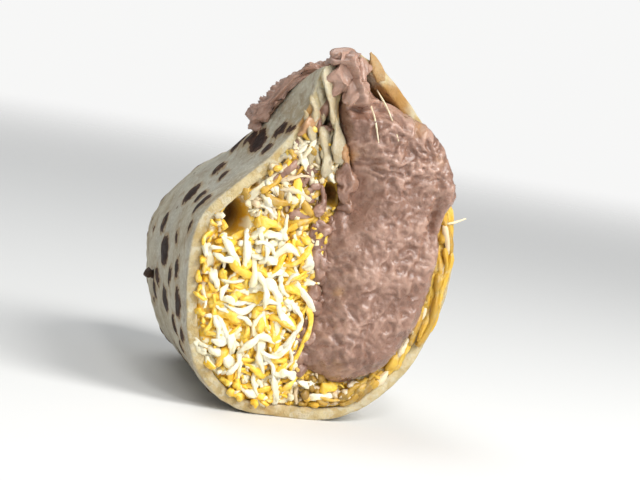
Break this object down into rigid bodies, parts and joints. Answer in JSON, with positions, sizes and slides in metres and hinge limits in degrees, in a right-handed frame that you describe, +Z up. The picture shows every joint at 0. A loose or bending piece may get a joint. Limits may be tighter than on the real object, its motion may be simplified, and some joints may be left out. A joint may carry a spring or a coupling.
{
  "type": "burrito half",
  "caption": "Cut half of a wrapped bean and cheese burrito: a toasted flour tortilla closed at one end, with mashed beans and shredded cheese showing at the cut.",
  "frame": {"origin": "bottom centre of the bounding box, on the surface the half lies on", "axes": "+Y from the cut face towards the closed, folded end; +Z up, with the seam along the top; +X to the right when the cut face is looked at"},
  "size_m": [0.0612, 0.0886, 0.0839],
  "materials": {
    "tortilla": "matte cream flour tortilla with toasted brown spots",
    "refried_beans": "moist mashed pinto beans, softly glossy",
    "shredded_cheese": "yellow and white shredded cheese, partly melted"
  },
  "bodies": {
    "root": {"tortilla": "tortilla", "refried_beans": "refried_beans", "shredded_cheese": "shredded_cheese"}
  },
  "joints": []
}
